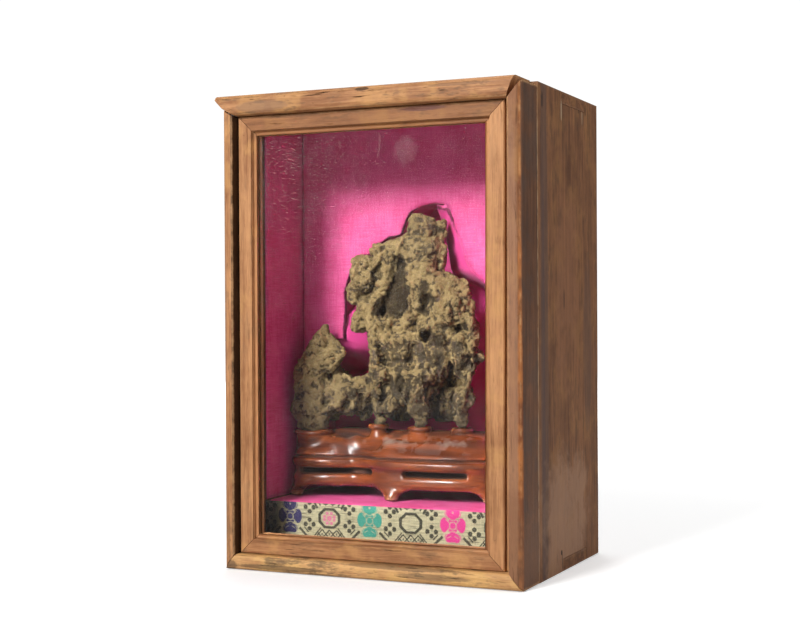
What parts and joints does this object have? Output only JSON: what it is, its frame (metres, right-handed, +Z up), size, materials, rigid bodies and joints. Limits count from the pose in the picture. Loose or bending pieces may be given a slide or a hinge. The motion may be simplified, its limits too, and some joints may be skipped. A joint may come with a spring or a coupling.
{
  "type": "scholar's rock in fitted case",
  "caption": "Weathered, pierced scholar's rock on a carved rosewood stand, kept in a small silk-lined wooden case with a glazed front that slides up.",
  "frame": {"origin": "centre of the case's underside: on the case's own middle line and halfway between its front and back, where it stands on the table", "axes": "+Z up, the way the glazed front slides; the glazed front faces -Y; +X is to the right of someone looking at the front"},
  "size_m": [0.2061, 0.152, 0.3004],
  "materials": {
    "case_wood": "dull, stained brown, worn and dirty at the edges",
    "front_wood": "worn satin, golden tan with darker grain",
    "glass": "clear thin pane with dust and finger marks",
    "silk": "plain-woven magenta silk, soft sheen",
    "brocade": "cream figured cloth with small flowers and octagons",
    "rosewood": "polished red-brown rosewood",
    "stone": "rough, pitted, dusty tan and grey"
  },
  "bodies": {
    "case": {"side_left": "case_wood", "side_right": "case_wood", "top_board": "case_wood", "bottom_board": "case_wood", "back_board": "case_wood", "post_left": "front_wood", "post_right": "front_wood", "bottom_rail": "front_wood", "lining_left": "silk", "lining_right": "silk", "lining_top": "silk", "plinth": "silk", "brocade_strip": "brocade", "back_pad": "silk", "stand": "rosewood", "rock": "stone"},
    "front_panel": {"panel_stile_left": "front_wood", "panel_stile_right": "front_wood", "panel_head": "front_wood", "panel_foot": "front_wood", "glass_pane": "glass", "top_rail": "front_wood"}
  },
  "joints": [
    {"name": "front_slide", "type": "slide", "parent": "case", "child": "front_panel", "axis": [0, 0, 1], "range_m": [0, 0.25]}
  ]
}
